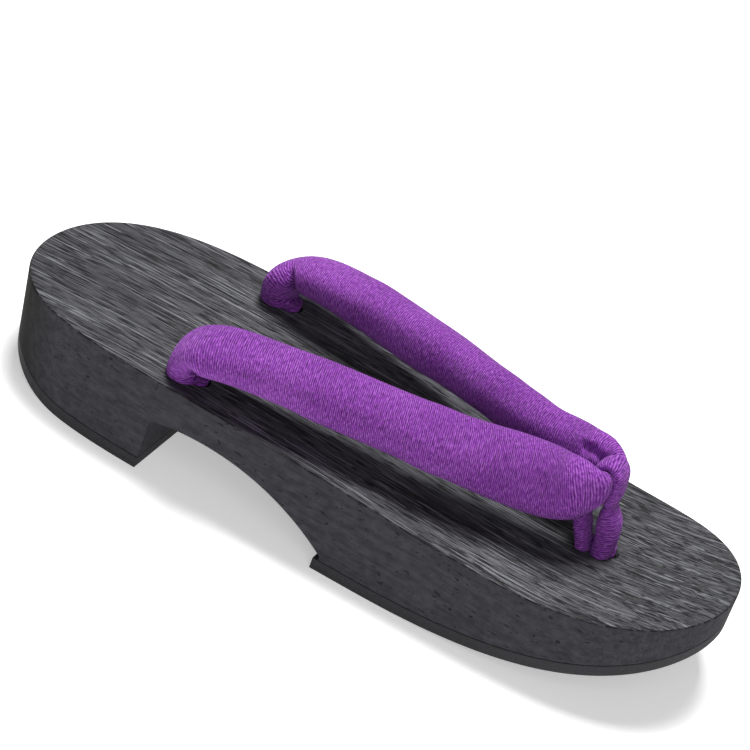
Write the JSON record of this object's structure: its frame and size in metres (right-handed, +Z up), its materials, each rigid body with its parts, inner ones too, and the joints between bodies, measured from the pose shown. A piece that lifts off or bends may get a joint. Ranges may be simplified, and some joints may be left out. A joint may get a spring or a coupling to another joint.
{
  "type": "geta sandal",
  "caption": "Wooden sandal with a heel block and a toe-sprung forefoot block under one curved footbed, held on the foot by a padded cloth V strap with a front loop.",
  "frame": {"origin": "on the floor, at the middle of the sandal's length and width", "axes": "+X from heel to toe, +Y to the wearer's left, +Z up"},
  "size_m": [0.241, 0.0846, 0.0583],
  "materials": {
    "stained_wood": "black stained, brushed along the grain, semi matte",
    "tread_rubber": "matte black",
    "strap_crepe": "fine ribbed crepe, soft matte"
  },
  "bodies": {
    "root": {"base": "stained_wood", "heel_rubber": "tread_rubber", "forefoot_rubber": "tread_rubber", "strap": "strap_crepe", "toe_loop": "strap_crepe"}
  },
  "joints": []
}
